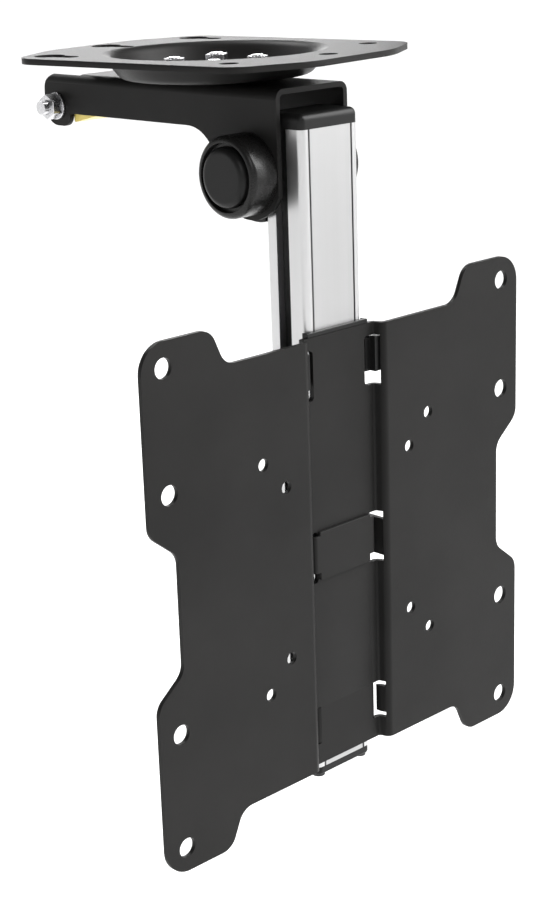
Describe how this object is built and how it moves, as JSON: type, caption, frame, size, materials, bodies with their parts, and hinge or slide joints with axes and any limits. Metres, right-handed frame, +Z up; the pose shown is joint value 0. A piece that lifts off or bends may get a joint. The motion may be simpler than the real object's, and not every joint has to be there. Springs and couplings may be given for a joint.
{
  "type": "tv ceiling mount",
  "caption": "Folding ceiling mount for a flat screen: dished ceiling plate, channel arm with fold pivot, aluminium column and black screen plate with hole patterns.",
  "frame": {"origin": "centre of the ceiling plate's top face, on the swivel axis", "axes": "+Z up into the ceiling, -Y the way the screen faces, +X across, along the fold axis"},
  "size_m": [0.222, 0.1665, 0.3165],
  "materials": {
    "black_steel": "satin black powder coat, fine texture",
    "black_cast": "satin black paint on a casting",
    "black_plastic": "satin moulded",
    "friction_lining": "matt",
    "column_aluminium": "satin, drawn along its length",
    "cover_aluminium": "satin, drawn along its length",
    "zinc_steel": "bright zinc",
    "spring_steel": "oiled",
    "dark_screws": "blackened",
    "grip_yellow": "moulded, satin gloss"
  },
  "bodies": {
    "ceiling": {"ceiling_plate": "black_steel"},
    "yoke": {"arm": "black_steel", "swivel_disc": "black_plastic", "swivel_bolt": "zinc_steel", "swivel_washer": "zinc_steel", "swivel_nut": "zinc_steel", "clamp_bolts": "zinc_steel", "clamp_washers": "zinc_steel", "clamp_nuts": "zinc_steel", "pivot_housing": "black_cast", "pivot_button": "black_plastic", "pivot_cap": "black_cast", "pivot_bolt": "zinc_steel", "pivot_nut": "zinc_steel", "spring_washers": "spring_steel", "pivot_washer": "zinc_steel", "friction_disc_left": "friction_lining", "friction_disc_right": "friction_lining", "tip_bolt": "zinc_steel", "tip_washers": "zinc_steel", "tip_nut": "zinc_steel", "tip_spacer": "zinc_steel"},
    "latch": {"latch_lever": "black_steel", "latch_grip": "grip_yellow"},
    "column": {"column": "column_aluminium", "front_cover": "cover_aluminium", "track_strip_left": "black_plastic", "track_strip_right": "black_plastic", "top_cap": "black_plastic", "foot_cap": "black_plastic", "foot_screws": "dark_screws", "hinge_block": "black_cast", "block_screws": "dark_screws", "anchor_plate": "black_steel", "striker_bracket": "black_steel", "striker_pin": "zinc_steel", "striker_rivets": "zinc_steel"},
    "carriage": {"screen_plate": "black_steel", "clamp_strap": "black_steel", "clamp_bar": "black_steel", "clamp_pad": "black_plastic", "carriage_bolts": "dark_screws", "carriage_nuts": "dark_screws", "guide_collar": "black_plastic", "slide_pads": "black_plastic"}
  },
  "joints": [
    {"name": "swivel", "type": "hinge", "parent": "ceiling", "child": "yoke", "pos_m": [0, 0, 0], "axis": [0, 0, 1], "range_deg": [-13, 27]},
    {"name": "fold", "type": "hinge", "parent": "yoke", "child": "column", "pos_m": [0, -0.0389, -0.0462], "axis": [1, 0, 0], "range_deg": [0, 90]},
    {"name": "height", "type": "slide", "parent": "column", "child": "carriage", "axis": [0, 0, 1], "range_m": [0, 0.035]},
    {"name": "latch", "type": "hinge", "parent": "yoke", "child": "latch", "pos_m": [0, 0.0833, -0.026], "axis": [1, 0, 0], "range_deg": [-6, 0], "stiffness_Nm_per_rad": 0.05, "springref_deg": 17.19}
  ]
}
